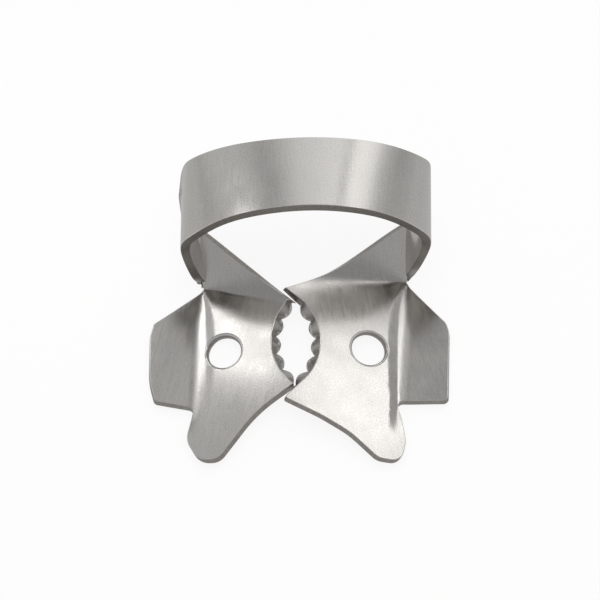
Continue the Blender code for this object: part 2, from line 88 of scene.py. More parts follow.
class ClampSizes(bpy.types.PropertyGroup):
    """Sizes that both halves of the clamp share."""

    sheet: bpy.props.FloatProperty(
        name="Sheet", description="Thickness of the sheet", default=0.85 * MM, unit="LENGTH")
    edge_break: bpy.props.FloatProperty(
        name="Edge break", description="Radius left on the cut edges by tumbling",
        default=0.16 * MM, unit="LENGTH")
    hole_diameter: bpy.props.FloatProperty(
        name="Hole diameter", description="Diameter of the forceps holes",
        default=3.05 * MM, unit="LENGTH")
    hole_break: bpy.props.FloatProperty(
        name="Hole break", description="Radius on the rims of the forceps holes",
        default=0.30 * MM, unit="LENGTH")
    notch_radius: bpy.props.FloatProperty(
        name="Notch radius", description="Round end of the notch between arm and wing",
        default=0.33 * MM, unit="LENGTH")
    band_width: bpy.props.FloatProperty(
        name="Band width", description="Width of the bow at its crown",
        default=7.4 * MM, unit="LENGTH")
    bow_half_width: bpy.props.FloatProperty(
        name="Bow half width", description="Middle of the bow to the sheet where it is widest",
        default=10.80 * MM, unit="LENGTH")
    bow_shift: bpy.props.FloatProperty(
        name="Bow shift", description="How far the bow sits to the right of the plates",
        default=0.73 * MM, unit="LENGTH")
    bow_height: bpy.props.FloatProperty(
        name="Bow height", description="Crown above the plates, at the middle of the band",
        default=13.4 * MM, unit="LENGTH")
    bow_lean: bpy.props.FloatProperty(
        name="Bow lean", description="Slope of the crown's band down towards the back",
        default=math.radians(16.0), unit="ROTATION")
    bow_front: bpy.props.FloatProperty(
        name="Bow front", description="Front edge of the crown behind the middle of the plates",
        default=3.33 * MM, unit="LENGTH")
    waist_height: bpy.props.FloatProperty(
        name="Waist height", description="Height of the bow's widest place",
        default=6.6 * MM, unit="LENGTH")
    waist_front: bpy.props.FloatProperty(
        name="Waist front", description="Front edge of the band at the widest place",
        default=2.47 * MM, unit="LENGTH")
    waist_back_rise: bpy.props.FloatProperty(
        name="Waist back rise", description="How much higher the back edge is widest",
        default=0.4 * MM, unit="LENGTH")
    wing_bend: bpy.props.FloatProperty(
        name="Wing bend", description="Half width of the rounded valley between plate and wing",
        default=0.80 * MM, unit="LENGTH")
    shoulder_width: bpy.props.FloatProperty(
        name="Shoulder width",
        description="Width of the small step from plate to valley, in front",
        default=0.90 * MM, unit="LENGTH")
    shoulder_back: bpy.props.FloatProperty(
        name="Shoulder width at the back", description="The same next to the fold",
        default=1.60 * MM, unit="LENGTH")
    bend_run_out: bpy.props.FloatProperty(
        name="Bend run-out", description="Where the wing's bend is gone, as a share of its length",
        default=1.25, unit="NONE")
    front_bend_start: bpy.props.FloatProperty(
        name="Front bend start", description="Fold to where a front wing starts to bend up",
        default=3.3 * MM, unit="LENGTH")
    front_bend_length: bpy.props.FloatProperty(
        name="Front bend length", description="Length over which it bends",
        default=2.4 * MM, unit="LENGTH")
    lip_peak: bpy.props.FloatProperty(
        name="Lip at a tooth", description="How far the teeth reach in below the plate's edge",
        default=0.66 * MM, unit="LENGTH")
    lip_valley: bpy.props.FloatProperty(
        name="Lip between teeth", description="The same between two teeth",
        default=0.20 * MM, unit="LENGTH")
    tooth_fullness: bpy.props.FloatProperty(
        name="Tooth fullness", description="Less than 1 gives round teeth with sharp gaps",
        default=0.75, unit="NONE")
    stand_pitch: bpy.props.FloatProperty(
        name="Stand pitch", description="Forward turn that stands it on the bends of its wings",
        default=math.radians(5.5), unit="ROTATION")
    mesh_step: bpy.props.FloatProperty(
        name="Mesh step", description="Spacing of the cuts that let the blank bend",
        default=0.28 * MM, unit="LENGTH")


class ClampFinish(bpy.types.PropertyGroup):
    """Colours and marks of the steel."""

    steel_colour: bpy.props.FloatVectorProperty(
        name="Steel", description="Colour of the satin faces", subtype="COLOR", size=4,
        min=0.0, max=1.0, default=(0.60, 0.585, 0.56, 1.0))
    edge_colour: bpy.props.FloatVectorProperty(
        name="Cut edge", description="Colour of the sheared edges", subtype="COLOR", size=4,
        min=0.0, max=1.0, default=(0.40, 0.375, 0.345, 1.0))
    # painted highlight: the rounded rims get a near-white colour, far brighter than the steel, to
    # stand in for the light they catch
    rim_highlight_colour: bpy.props.FloatVectorProperty(
        name="Rim", description="Colour of the rounded rims, which are rubbed bright",
        subtype="COLOR", size=4, min=0.0, max=1.0, default=(0.93, 0.92, 0.90, 1.0))
    roughness: bpy.props.FloatProperty(
        name="Roughness", description="Roughness of the satin faces",
        default=0.19, min=0.0, max=1.0, subtype="FACTOR")
    edge_roughness: bpy.props.FloatProperty(
        name="Edge roughness", description="Roughness of the sheared edges",
        default=0.42, min=0.0, max=1.0, subtype="FACTOR")
    brushing: bpy.props.FloatProperty(
        name="Brushing", description="Strength of the fine brushed lines",
        default=0.60, min=0.0, max=1.0, subtype="FACTOR")


class StageSettings(bpy.types.PropertyGroup):
    """Floor, lamps and camera."""

    floor_colour: bpy.props.FloatVectorProperty(
        name="Floor", description="Colour of the floor", subtype="COLOR", size=4,
        min=0.0, max=1.0, default=(0.90, 0.90, 0.89, 1.0))
    floor_size: bpy.props.FloatProperty(
        name="Floor size", description="Side of the square floor", default=4.0, unit="LENGTH")
    camera_distance: bpy.props.FloatProperty(
        name="Camera distance", description="Camera to the middle of the plates",
        default=0.250, unit="LENGTH")
    camera_tilt: bpy.props.FloatProperty(
        name="Camera tilt", description="Angle of the view in front of straight above",
        default=math.radians(24.5), unit="ROTATION")
    camera_roll: bpy.props.FloatProperty(
        name="Camera roll", description="Turn of the picture",
        default=math.radians(1.7), unit="ROTATION")
    view_width: bpy.props.FloatProperty(
        name="View width", description="Width of what the camera sees at that distance",
        default=0.054, unit="LENGTH")
    lamp_strength: bpy.props.FloatProperty(
        name="Lamp strength", description="Strength of all the lamps", default=1.0)


class Side:
    """The sizes of one half, outwards positive, as far as the two halves differ."""

    def __init__(self, **sizes):
        self.__dict__.update(sizes)


LEFT = Side(
    sign=-1,
    apex=(8.82 * MM, 1.27 * MM),           # centre of the notch, seen from above
    jaw_tip=(1.10 * MM, -1.91 * MM),       # where the fold runs out at the jaw
    plate_roll=math.radians(14.5),         # the plate rises towards the jaw
    wing_rise=math.radians(19.0),          # wing against plate
    crease_foot=(9.42 * MM, -10.24 * MM),  # front end of the wing's bend
    shoulder=(0.14 * MM, 0.02 * MM),       # drop of the step at the back and at the front
    shoulder_shift=(0.35 * MM, 0.0),       # how much further out it lies there
    front_bend=math.radians(2.8),          # upward bend of the front wing
    arm_lean=math.radians(92.0),           # direction of the fold that starts the arm
    arm_slope=math.radians(44.0),          # and how steeply that line climbs
    fold_reach=0.52,                       # a small reach gives a tight fold
    arm_width=6.08 * MM,
    low_front=(9.19 * MM, 1.32 * MM, 3.3 * MM),
    low_back=(10.17 * MM, 8.29 * MM, 6.1 * MM),
    waist_out=(-0.09 * MM, -0.28 * MM),    # front and back edge of the widest place, further out
    waist_back=10.07 * MM,                 # back edge there
    squareness=0.964,                      # 1 gives an elliptical crown, less a squarer one
    distal_bow=0.60 * MM,                  # sag of the back edge between arm and jaw
    wing=((12.89, -2.40, 0.5), (13.18, -3.58, 1.2), (13.25, -7.92, 9.0), (12.78, -9.92, 0.4),
          (9.60, -10.47, 0.55)),
    front=((9.74, -11.35, 2.0), (10.24, -13.48, 2.0), (9.17, -15.47, 1.6), (7.40, -15.59, 1.3),
           (4.05, -11.25, 12.0), (0.68, -8.96, 0.22)),
    jaw=((1.01, -8.70), (2.59, -4.76), (1.03, -0.79)),
    jaw_corner=(0.44 * MM, -1.00 * MM),    # where the back edge meets the jaw
    teeth=5,
    hole=(6.84 * MM, -5.21 * MM),
)

RIGHT = Side(
    sign=1,
    apex=(9.82 * MM, 1.30 * MM),
    jaw_tip=(-0.94 * MM, -3.06 * MM),
    plate_roll=math.radians(14.0),
    wing_rise=math.radians(18.5),
    crease_foot=(8.60 * MM, -10.77 * MM),
    shoulder=(0.11 * MM, 0.16 * MM),
    shoulder_shift=(-0.30 * MM, 0.55 * MM),
    front_bend=0.0,
    arm_lean=math.radians(92.0),
    arm_slope=math.radians(44.0),
    fold_reach=0.91,
    arm_width=6.36 * MM,
    low_front=(10.32 * MM, 1.50 * MM, 3.3 * MM),
    low_back=(10.40 * MM, 7.88 * MM, 5.9 * MM),
    waist_out=(-0.30 * MM, -0.04 * MM),
    waist_back=9.68 * MM,
    squareness=0.985,
    distal_bow=1.22 * MM,
    wing=((12.78, -3.14, 1.0), (12.96, -4.01, 2.0), (12.53, -10.64, 0.45), (8.12, -10.28, 0.7)),
    front=((8.56, -11.86, 2.0), (8.82, -14.18, 2.0), (8.33, -16.06, 1.5), (6.32, -15.78, 1.4),
           (3.92, -13.43, 8.0), (1.46, -11.93, 12.0), (-1.73, -10.38, 0.22)),
    jaw=((-0.41, -9.00), (1.58, -4.87), (0.24, -1.17)),
    jaw_corner=(-1.46 * MM, 0.08 * MM),
    teeth=5,
    hole=(5.89 * MM, -5.43 * MM),
)


def unit(vector):
    """The vector at length 1."""
    vector = np.asarray(vector, dtype=float)
    return vector / np.linalg.norm(vector)


def lengths_of(rows):
    """Length of each row, as a column."""
    return np.linalg.norm(rows, axis=1)[:, None]


def ease(value):
    """0 below 0 and 1 above 1, with a smooth rise between."""
    value = np.clip(value, 0.0, 1.0)
    return value * value * (3.0 - 2.0 * value)


def tapered(width, reach):
    """A width that narrows to nothing towards the notch's centre."""
    return width * (1.0 - np.exp(-TAPER * reach / width))


def bent_up(along, start, length):
    """Height of a line of slope 1 that bends up from level between start and start + length."""
    share = np.clip((along - start) / length, 0.0, 1.0)
    return 0.5 * length * share ** 2 + np.maximum(along - start - length, 0.0)


def turned_by(vector, angle):
    """A plane vector turned anticlockwise."""
    sine, cosine = math.sin(angle), math.cos(angle)
    return np.array((vector[0] * cosine - vector[1] * sine, vector[0] * sine + vector[1] * cosine))


def spline(knots, points, start, end):
    """A smooth curve through the points that leaves and arrives with the given slopes."""
    knots = np.asarray(knots)
    points = np.asarray(points)
    gaps = np.diff(knots)[:, None]
    count = len(knots)
    matrix = np.zeros((count, count))
    wanted = np.zeros_like(points)
    matrix[0, 0] = matrix[-1, -1] = 1.0
    wanted[0] = start
    wanted[-1] = end
    for i in range(1, count - 1):
        before, after = gaps[i - 1, 0], gaps[i, 0]
        matrix[i, i - 1:i + 2] = after, 2.0 * (before + after), before
        wanted[i] = 3.0 * (after * (points[i] - points[i - 1]) / before
                           + before * (points[i + 1] - points[i]) / after)
    slopes = np.linalg.solve(matrix, wanted)

    def curve(at):
        at = np.clip(at, knots[0], knots[-1])
        i = np.clip(np.searchsorted(knots, at, side="right") - 1, 0, count - 2)
        gap = gaps[i]
        t = (at - knots[i])[:, None] / gap
        rise = points[i + 1] - points[i]
        return (points[i] + t * t * (3.0 - 2.0 * t) * rise
                + gap * t * (1.0 - t) * ((1.0 - t) * slopes[i] - t * slopes[i + 1]))

    return curve


def rounded(corners, step):
    """Points along a line of corners (x, y, radius), with an arc of that radius at each."""
    points = []
    for i, (x, y, radius) in enumerate(corners):
        here = np.array((x, y))
        if i in (0, len(corners) - 1) or radius == 0.0:
            points.append(here)
            continue
        to_last = unit(np.array(corners[i - 1][:2]) - here)
        to_next = unit(np.array(corners[i + 1][:2]) - here)
        half = 0.5 * math.acos(float(np.clip(to_last @ to_next, -1.0, 1.0)))
        room = 0.48 * min(np.linalg.norm(np.array(corners[i + k][:2]) - here) for k in (-1, 1))
        reach = min(radius / math.tan(half), room)
        radius = reach * math.tan(half)
        centre = here + unit(to_last + to_next) * radius / math.sin(half)
        first = here + to_last * reach - centre
        last = here + to_next * reach - centre
        turn = math.atan2(first[0] * last[1] - first[1] * last[0], float(first @ last))
        steps = math.ceil(max(abs(turn) / ARC_STEP, abs(turn) * radius * MM / step))
        for k in range(steps + 1):
            points.append(centre + turned_by(first, turn * k / steps))
    return points


def arc_through(start, middle, end, count):
    """Count + 1 points on the arc through three points, and unit normals towards its centre."""
    (ax, ay), (bx, by), (cx, cy) = start, middle, end
    double = 2.0 * (ax * (by - cy) + bx * (cy - ay) + cx * (ay - by))
    a2, b2, c2 = ax * ax + ay * ay, bx * bx + by * by, cx * cx + cy * cy
    centre = np.array(((a2 * (by - cy) + b2 * (cy - ay) + c2 * (ay - by)) / double,
                       (a2 * (cx - bx) + b2 * (ax - cx) + c2 * (bx - ax)) / double))
    first, last = np.array(start) - centre, np.array(end) - centre
    turn = math.atan2(first[0] * last[1] - first[1] * last[0], float(first @ last))
    spokes = [turned_by(first, turn * k / count) for k in range(count + 1)]
    return [centre + spoke for spoke in spokes], [-unit(spoke) for spoke in spokes]


class Fold:
    """One foot of the bow, where the arm fans round the notch and runs out into the plate."""

    def __init__(self, side, sizes):
        self.side = side
        self.sizes = sizes
        apex, tip = np.array(side.apex), np.array(side.jaw_tip)
        self.apex = np.array((*apex, 0.0))
        inwards = unit(tip - apex)
        forwards = np.array((-inwards[1], inwards[0]))
        climb = side.plate_roll
        self.inwards = np.array((*(inwards * math.cos(climb)), math.sin(climb)))
        self.forwards = np.array((*forwards, 0.0))
        self.up = np.cross(self.inwards, self.forwards)
        lean, slope = side.arm_lean, side.arm_slope
        self.rising = np.array((math.cos(lean) * math.cos(slope),
                                math.sin(lean) * math.cos(slope), math.sin(slope)))
        self.plan_axes = np.array((inwards / math.cos(climb), forwards))
        self.crease = self.plan_axes @ (np.array(side.crease_foot) - apex)
        self.outwards = unit((-self.crease[1], self.crease[0]))
        self.fan()

    def fan(self):
        """Tabulate the cone between arm and plate by the angle it turns through when flat."""
        share = np.linspace(0.0, 1.0, FAN_STEPS + 1)[:, None]
        middle = self.inwards - self.side.fold_reach * self.forwards
        rays = ((1 - share) ** 2 * self.rising + 2 * share * (1 - share) * middle
                + share ** 2 * self.inwards)
        self.rays = rays / lengths_of(rays)
        steps = np.linalg.norm(np.diff(self.rays, axis=0), axis=1)
        self.angles = np.concatenate(((0.0,), np.cumsum(steps)))
        self.spread = self.angles[-1]
        self.leaving = unit(self.rays[1] - self.rays[0])

    def ray(self, angle):
        """Direction of the fan at an angle."""
        parts = [np.interp(angle, self.angles, self.rays[:, k]) for k in range(3)]
        rays = np.stack(parts, axis=-1)
        return rays / lengths_of(rays)

    def in_fan(self, vector):
        """The part of a vector that lies in the fan where it leaves the arm."""
        return (vector @ self.rising) * self.rising + (vector @ self.leaving) * self.leaving

    def turned(self, along, ahead):
        """Lengths along the plate's own axes as lengths across and along the blank."""
        sine, cosine = math.sin(self.spread), math.cos(self.spread)
        return np.array((along * sine + ahead * cosine, along * cosine - ahead * sine))

    def to_blank(self, point):
        """Where a point seen from above, in metres, lies on the blank from the notch's centre."""
        return self.turned(*(self.plan_axes @ (np.asarray(point) - self.apex[:2])))

    def relief(self, along, ahead):
        """Height of valley, wing and front wing above the plane of the plate."""
        side, sizes = self.side, self.sizes
        off = along * self.outwards[0] + ahead * self.outwards[1]
        down = (along * self.crease[0] + ahead * self.crease[1]) / (self.crease @ self.crease)
        reach = np.maximum(np.hypot(along, ahead), 0.1 * sizes.notch_radius)
        bend = tapered(sizes.wing_bend, reach)
        ramp = bent_up(off, -bend, 2.0 * bend)
        share = np.clip(down, 0.0, 1.0)
        widths = sizes.shoulder_back + (sizes.shoulder_width - sizes.shoulder_back) * share
        width = tapered(widths, reach)
        drop = side.shoulder[0] + (side.shoulder[1] - side.shoulder[0]) * share
        thinned = width / widths
        shift = side.shoulder_shift[0] + (side.shoulder_shift[1] - side.shoulder_shift[0]) * share
        step = thinned * ease((off - thinned * shift + bend + width) / width)
        fade = ease((sizes.bend_run_out - down) / (sizes.bend_run_out - 1.0))
        front = bent_up(ahead, sizes.front_bend_start, sizes.front_bend_length)
        return (fade * (math.tan(side.wing_rise) * ramp - drop * step)
                + math.tan(side.front_bend) * front)

    def place(self, flat):
        """Formed places of blank points given from the notch's centre, arm side excluded."""
        angle = np.arctan2(flat[:, 0], flat[:, 1])
        angle = np.where(angle < -0.5 * math.pi, angle + 2.0 * math.pi, angle)
        reach = np.linalg.norm(flat, axis=1)
        fanned = self.apex + reach[:, None] * self.ray(np.clip(angle, 0.0, self.spread))
        sine, cosine = math.sin(self.spread), math.cos(self.spread)
        along = flat[:, 0] * sine + flat[:, 1] * cosine
        ahead = flat[:, 0] * cosine - flat[:, 1] * sine
        plate = (self.apex + along[:, None] * self.inwards + ahead[:, None] * self.forwards
                 + self.relief(along, ahead)[:, None] * self.up)
        return np.where((angle > self.spread)[:, None], plate, fanned), angle


class Form:
    """The formed clamp: carries points of the flat blank to their places."""

    def __init__(self, sizes):
        self.sizes = sizes
        self.folds = {side.sign: Fold(side, sizes) for side in (LEFT, RIGHT)}
        self.stand = np.array(Matrix.Rotation(sizes.stand_pitch, 3, "X"))
        self.strip()

    def stations(self, sign):
        """Front and back edge of one half, from the fold's foot to below the crown."""
        sizes = self.sizes
        fold = self.folds[sign]
        side = fold.side
        turn = np.array((sign, 1.0, 1.0))
        shift = np.array((sizes.bow_shift, 0.0, 0.0))
        front = [turn * (fold.apex + sizes.notch_radius * fold.rising), turn * side.low_front]
        back = [turn * (fold.apex + side.arm_width * fold.rising), turn * side.low_back]
        waist_front = np.array((sizes.bow_half_width + side.waist_out[0], sizes.waist_front,
                                sizes.waist_height))
        waist_back = np.array((sizes.bow_half_width + side.waist_out[1], side.waist_back,
                               sizes.waist_height + sizes.waist_back_rise))
        for angle in np.radians((90.0, 67.5, 45.0, 22.5)):
            out = math.sin(angle) ** side.squareness
            top = abs(math.cos(angle)) ** side.squareness
            share = np.array((1.0 - out, math.cos(angle) ** 2, top))
            front.append(turn * (waist_front + share * (self.crown_front - waist_front)) + shift)
            back.append(turn * (waist_back + share * (self.crown_back - waist_back)) + shift)
        return front, back, shift

    def strip(self):
        """The bow and arms as straight lines between a front and a back edge."""
        sizes = self.sizes
        run = sizes.band_width * math.cos(sizes.bow_lean)
        fall = sizes.band_width * math.sin(sizes.bow_lean)
        self.crown_front = np.array((0.0, sizes.bow_front, sizes.bow_height + 0.5 * fall))
        self.crown_back = np.array((0.0, sizes.bow_front + run, sizes.bow_height - 0.5 * fall))
        left_front, left_back, shift = self.stations(-1)
        right_front, right_back, _ = self.stations(1)
        fronts = np.array(left_front + [self.crown_front + shift] + right_front[::-1])
        backs = np.array(left_back + [self.crown_back + shift] + right_back[::-1])
        middles = 0.5 * (fronts + backs)
        gaps = np.linalg.norm(np.diff(middles, axis=0), axis=1)
        lengths = np.concatenate(((0.0,), np.cumsum(gaps)))
        knots = lengths - lengths[len(fronts) // 2]
        self.ends = {-1: knots[0], 1: knots[-1]}
        edges = []
        for points in (fronts, backs):
            slopes = []
            for sign, near, far in ((-1, 0, 1), (1, -1, -2)):
                turn = np.array((sign, 1.0, 1.0))
                step = (points[near] - points[far]) / abs(knots[near] - knots[far]) * turn
                slopes.append(sign * self.folds[sign].in_fan(step) * turn)
            edges.append(spline(knots, points, *slopes))
        self.front, self.back = edges

    def width(self, at):
        """Width of the strip at one place along it."""
        at = np.array((at,))
        return float(np.linalg.norm(self.back(at) - self.front(at)))

    def surface(self, flat):
        """Middle surface of the formed clamp for an array of blank points."""
        at, across = flat[:, 0], flat[:, 1]
        front, back = self.front(at), self.back(at)
        result = front + (across[:, None] / lengths_of(back - front)) * (back - front)
        for sign, fold in self.folds.items():
            local = np.stack((sign * (at - self.ends[sign]), across + self.sizes.notch_radius),
                             axis=-1)
            placed, angle = fold.place(local)
            placed = placed * np.array((sign, 1.0, 1.0))
            mine = (angle > 0.0) & (sign * at > 0.0)
            result = np.where(mine[:, None], placed, result)
        return result

    def normals(self, flat):
        """Unit normals of the middle surface, outwards on the bow."""
        step = np.array((SURFACE_PROBE, 0.0))
        lift = np.array((0.0, SURFACE_PROBE))
        along = self.surface(flat + step) - self.surface(flat - step)
        across = self.surface(flat + lift) - self.surface(flat - lift)
        normal = np.cross(along, across)
        return normal / lengths_of(normal)

    def shape(self, points):
        """Formed places of solid blank points, whose third value is the depth in the sheet."""
        flat = points[:, :2]
        return (self.surface(flat) + points[:, 2:] * self.normals(flat)) @ self.stand.T

    def turn_normals(self, points, normals):
        """Directions that the blank's surface normals take on the formed clamp."""
        sides = []
        for axis in range(3):
            step = np.zeros(3)
            step[axis] = SOLID_PROBE
            sides.append(self.shape(points + step) - self.shape(points - step))
        a, b, c = sides
        turned = (normals[:, :1] * np.cross(b, c) + normals[:, 1:2] * np.cross(c, a)
                  + normals[:, 2:] * np.cross(a, b))
        return turned / lengths_of(turned)


def jaw_points(side, sizes):
    """The toothed edge from front to back: upper points and lower points, in millimetres."""
    upper, inwards = arc_through(*side.jaw, side.teeth * TOOTH_POINTS)
    lower = []
    for k, (point, normal) in enumerate(zip(upper, inwards)):
        wave = abs(math.sin(math.pi * k / TOOTH_POINTS)) ** sizes.tooth_fullness
        reach = sizes.lip_valley + (sizes.lip_peak - sizes.lip_valley) * wave
        lower.append(point + reach / MM * normal)
    return upper, lower


def half_outline(form, sign, sizes):
    """Blank points of one half from the crown's front edge round to its back edge.

    Each entry is (lower point, upper point): they differ only along the toothed jaw.
    """
    fold = form.folds[sign]
    side = fold.side
    end = form.ends[sign]
    notch = sizes.notch_radius
    stride = 2.0 * sizes.mesh_step
    pairs = []

    def add(flat, upper=None):
        flat = np.array(flat)
        pairs.append((flat, flat if upper is None else np.array(upper)))

    def from_notch(local):
        return end + sign * local[0], local[1] - notch

    steps = round(abs(end) / stride)
    for k in range(steps + 1):
        add((end * k / steps, 0.0))

    corner = np.array(side.wing[0][:2]) * MM
    away = fold.apex[:2] - corner
    tilt = math.asin(notch / np.linalg.norm(away))
    length = math.sqrt(away @ away - notch ** 2)
    heading = math.atan2(away[1], away[0]) + tilt
    touch = corner + length * np.array((math.cos(heading), math.sin(heading)))
    local = fold.to_blank(touch)
    sweep = math.atan2(local[0], local[1]) % (2.0 * math.pi)
    arcs = math.ceil(sweep / ARC_STEP)
    for k in range(1, arcs):
        angle = sweep * k / arcs
        add(from_notch(notch * np.array((math.sin(angle), math.cos(angle)))))

    upper, lower = jaw_points(side, sizes)
    corners = [(*(touch / MM), 0.0), *side.wing, *side.front, (*upper[0], 0.0)]
    for point in rounded(corners, stride)[:-1]:
        add(from_notch(fold.to_blank(point * MM)))
    for high, low in zip(upper, lower):
        add(from_notch(fold.to_blank(low * MM)), from_notch(fold.to_blank(high * MM)))

    first = len(pairs)
    back_start = np.array((end, form.width(end)))
    tip_corner = np.array(from_notch(fold.to_blank(side.jaw_corner)))
    chord = back_start - tip_corner
    sag = np.array((chord[1], -chord[0])) / np.linalg.norm(chord) * sign
    steps = round(np.linalg.norm(chord) / stride)
    for k in range(steps + 1):
        share = k / steps
        add(tip_corner + chord * share - sag * side.distal_bow * 4.0 * share * (1.0 - share))
    steps = round(abs(end) / stride)
    for k in range(1, steps):
        at = end * (1.0 - k / steps)
        add((at, form.width(at)))

    back = np.array([low for low, _ in pairs[first:]])
    for _ in range(BACK_PASSES):
        back[1:-1] += 0.25 * (back[:-2] - 2.0 * back[1:-1] + back[2:])
    return pairs[:first] + [(point, point) for point in back]


def blank_outline(form, sizes):
    """The whole blank, anticlockwise, as (lower point, upper point) pairs."""
    right = half_outline(form, 1, sizes)
    left = half_outline(form, -1, sizes)
    crown_back = np.array((0.0, form.width(0.0)))
    return right + [(crown_back, crown_back)] + left[:0:-1]


def solid_blank(pairs, sizes):
    """The flat blank as a solid with rounded edges, in a new bmesh.

    The lower edges of the teeth stay sharp.
    """
    bm = bmesh.new()
    upper_place = bm.verts.layers.float_vector.new("upper")
    toothed = bm.verts.layers.int.new("toothed")
    for low, high in pairs:
        vert = bm.verts.new((*low, 0.5 * sizes.sheet))
        vert[upper_place] = (*high, -0.5 * sizes.sheet)
        vert[toothed] = int(not np.allclose(low, high))
    face = bm.faces.new(bm.verts)
    face.normal_update()
    if face.normal.z < 0.0:
        face.normal_flip()
    grown = bmesh.ops.extrude_face_region(bm, geom=[face])
    raised = {item for item in grown["geom"] if isinstance(item, bmesh.types.BMVert)}
    for vert in bm.verts:
        if vert not in raised:
            vert.co = vert[upper_place]
    bmesh.ops.recalc_face_normals(bm, faces=bm.faces)

    rims = []
    for edge in bm.edges:
        first, second = edge.verts
        flat = abs(first.co.z - second.co.z) < 0.1 * sizes.sheet
        below = first.co.z > 0.0
        lip = below and (first[toothed] or second[toothed])
        if flat and not lip:
            rims.append(edge)
    bmesh.ops.bevel(bm, geom=rims, offset=sizes.edge_break, offset_type="OFFSET",
                    segments=EDGE_SEGMENTS, profile=0.5, affect="EDGES", clamp_overlap=True,
                    material=-1)
    return bm


def cut_grid(bm, form, sizes):
    """Cut the flat blank across and along, so that it can bend.

    The cuts across the blank come first, because the later ones pick their faces by place.
    """
    def cut(place, normal, before=math.inf, beyond=-math.inf):
        faces = []
        for face in bm.faces:
            middle = face.calc_center_median().x
            if middle < before or middle > beyond:
                faces.append(face)
        edges = {edge for face in faces for edge in face.edges}
        verts = {vert for face in faces for vert in face.verts}
        bmesh.ops.bisect_plane(bm, geom=[*verts, *edges, *faces],
                               plane_co=place, plane_no=normal, dist=1e-8)

    def spread(low, high, step):
        count = max(1, round((high - low) / step))
        return [low + (high - low) * k / count for k in range(count + 1)]

    step = sizes.mesh_step
    left_end, right_end = form.ends[-1], form.ends[1]
    lowest = min(vert.co.y for vert in bm.verts)
    highest = max(vert.co.y for vert in bm.verts)
    outermost = max(abs(vert.co.x) for vert in bm.verts)
    for low, high in ((-outermost, left_end), (left_end, right_end), (right_end, outermost)):
        for at in spread(low, high, step)[1:]:
            cut((at, 0.0, 0.0), (1.0, 0.0, 0.0), -math.inf, at - 2.0 * step)
    for across in spread(0.0, highest, BOW_ROWS * step)[1:-1]:
        cut((0.0, across, 0.0), (0.0, 1.0, 0.0))
    for across in spread(lowest, highest, PLATE_ROWS * step)[1:-1]:
        cut((0.0, across, 0.0), (0.0, 1.0, 0.0), left_end, right_end)
    start = -sizes.wing_bend - sizes.shoulder_back
    for sign, fold in form.folds.items():
        turn = np.array((sign, 1.0))
        apex = np.array((form.ends[sign], -sizes.notch_radius))
        outwards = fold.turned(*fold.outwards) * turn
        reach = (left_end, math.inf) if sign < 0 else (-math.inf, right_end)
        for off in spread(start, sizes.wing_bend, step):
            cut((*(apex + off * outwards), 0.0), (*outwards, 0.0), *reach)


def hole_cutter(form, sign, sizes):
    """A turned plug for one forceps hole, flared to leave its rims round."""
    fold = form.folds[sign]
    centre = fold.to_blank(fold.side.hole)
    place = (form.ends[sign] + sign * centre[0], centre[1] - sizes.notch_radius)
    radius = 0.5 * sizes.hole_diameter
    half = 0.5 * sizes.sheet
    flare = sizes.hole_break
    profile = [(0.0, half + flare), (radius + flare, half + flare)]
    quarter = [math.radians(15.0 * k) for k in range(7)]
    for top, angles in ((1, quarter), (-1, quarter[::-1])):
        for angle in angles:
            profile.append((radius + flare * (1.0 - math.sin(angle)),
                            top * (half - flare * (1.0 - math.cos(angle)))))
    profile += [(radius + flare, -half - flare), (0.0, -half - flare)]
    bm = bmesh.new()
    verts = [bm.verts.new((place[0] + out, place[1], depth)) for out, depth in profile]
    edges = [bm.edges.new(pair) for pair in zip(verts, verts[1:])]
    bmesh.ops.spin(bm, geom=verts + edges, cent=(*place, 0.0), axis=(0.0, 0.0, 1.0),
                   angle=2.0 * math.pi, steps=HOLE_STEPS, use_merge=True)
    bmesh.ops.remove_doubles(bm, verts=bm.verts, dist=1e-7)
    bmesh.ops.recalc_face_normals(bm, faces=bm.faces)
    mesh = bpy.data.meshes.new("hole_cutter")
    bm.to_mesh(mesh)
    bm.free()
    cutter = bpy.data.objects.new("hole_cutter", mesh)
    bpy.context.collection.objects.link(cutter)
    return cutter


def drilled(bm, form, sizes):
    """The blank with its two forceps holes, as a new bmesh."""
    mesh = bpy.data.meshes.new("blank")
    bm.to_mesh(mesh)
    bm.free()
    blank = bpy.data.objects.new("blank", mesh)
    bpy.context.collection.objects.link(blank)
    cutters = [hole_cutter(form, sign, sizes) for sign in (-1, 1)]
    for cutter in cutters:
        drill = blank.modifiers.new("drill", "BOOLEAN")
        drill.operation = "DIFFERENCE"
        drill.solver = "EXACT"
        drill.object = cutter
    bpy.context.view_layer.update()
    result = bmesh.new()
    result.from_object(blank, bpy.context.evaluated_depsgraph_get())
    for item in (blank, *cutters):
        data = item.data
        bpy.data.objects.remove(item)
        bpy.data.meshes.remove(data)
    return result


def blank_normals(bm):
    """Vertex normals of the flat blank, exact on its faces and straight walls."""
    normals = np.zeros((len(bm.verts), 3))
    for i, vert in enumerate(bm.verts):
        total = Vector()
        for face in vert.link_faces:
            normal = face.normal
            if abs(normal.z) > 0.9999:
                total = Vector((0.0, 0.0, math.copysign(1.0, normal.z)))
                break
            weight = face.calc_area()
            if abs(normal.z) < 0.001:
                weight *= 1000.0
            total += normal * weight
        normals[i] = total.normalized()
    return normals


